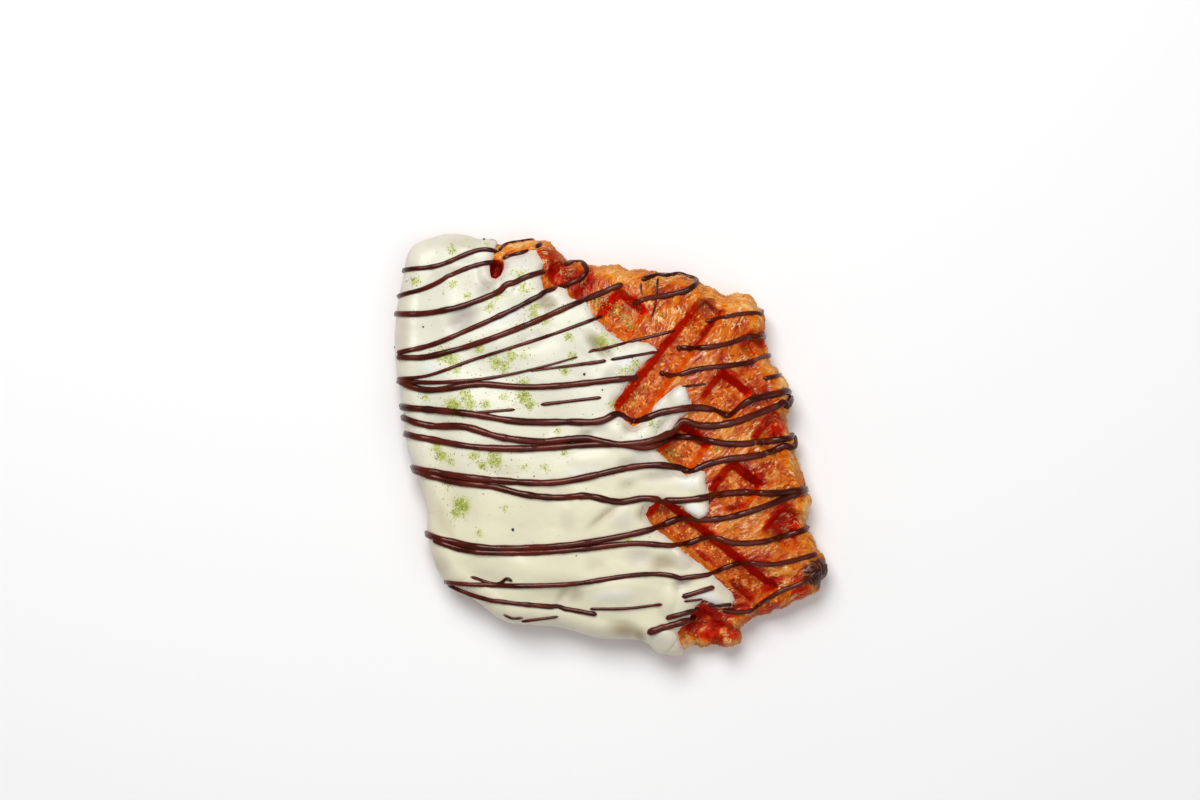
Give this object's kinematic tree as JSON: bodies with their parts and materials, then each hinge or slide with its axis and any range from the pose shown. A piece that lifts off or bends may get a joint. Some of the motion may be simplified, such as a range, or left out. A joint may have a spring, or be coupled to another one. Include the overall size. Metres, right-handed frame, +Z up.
{
  "type": "croffle",
  "caption": "Croissant pressed in a waffle iron, partly coated in thick white icing, with dark drizzle and bare pressed pockets.",
  "frame": {"origin": "centre of the bounding box in plan, at the flat underside that rests on a surface", "axes": "+Z up through the thickness, away from the resting face; +X towards the bare, uncoated side; +Y towards the coated lobe's end"},
  "size_m": [0.1166, 0.1132, 0.0214],
  "materials": {
    "pastry_crust": "matt, browned and flaky",
    "icing_coat": "satin, smooth"
  },
  "bodies": {
    "root": {"pastry": "pastry_crust", "icing": "icing_coat"}
  },
  "joints": []
}
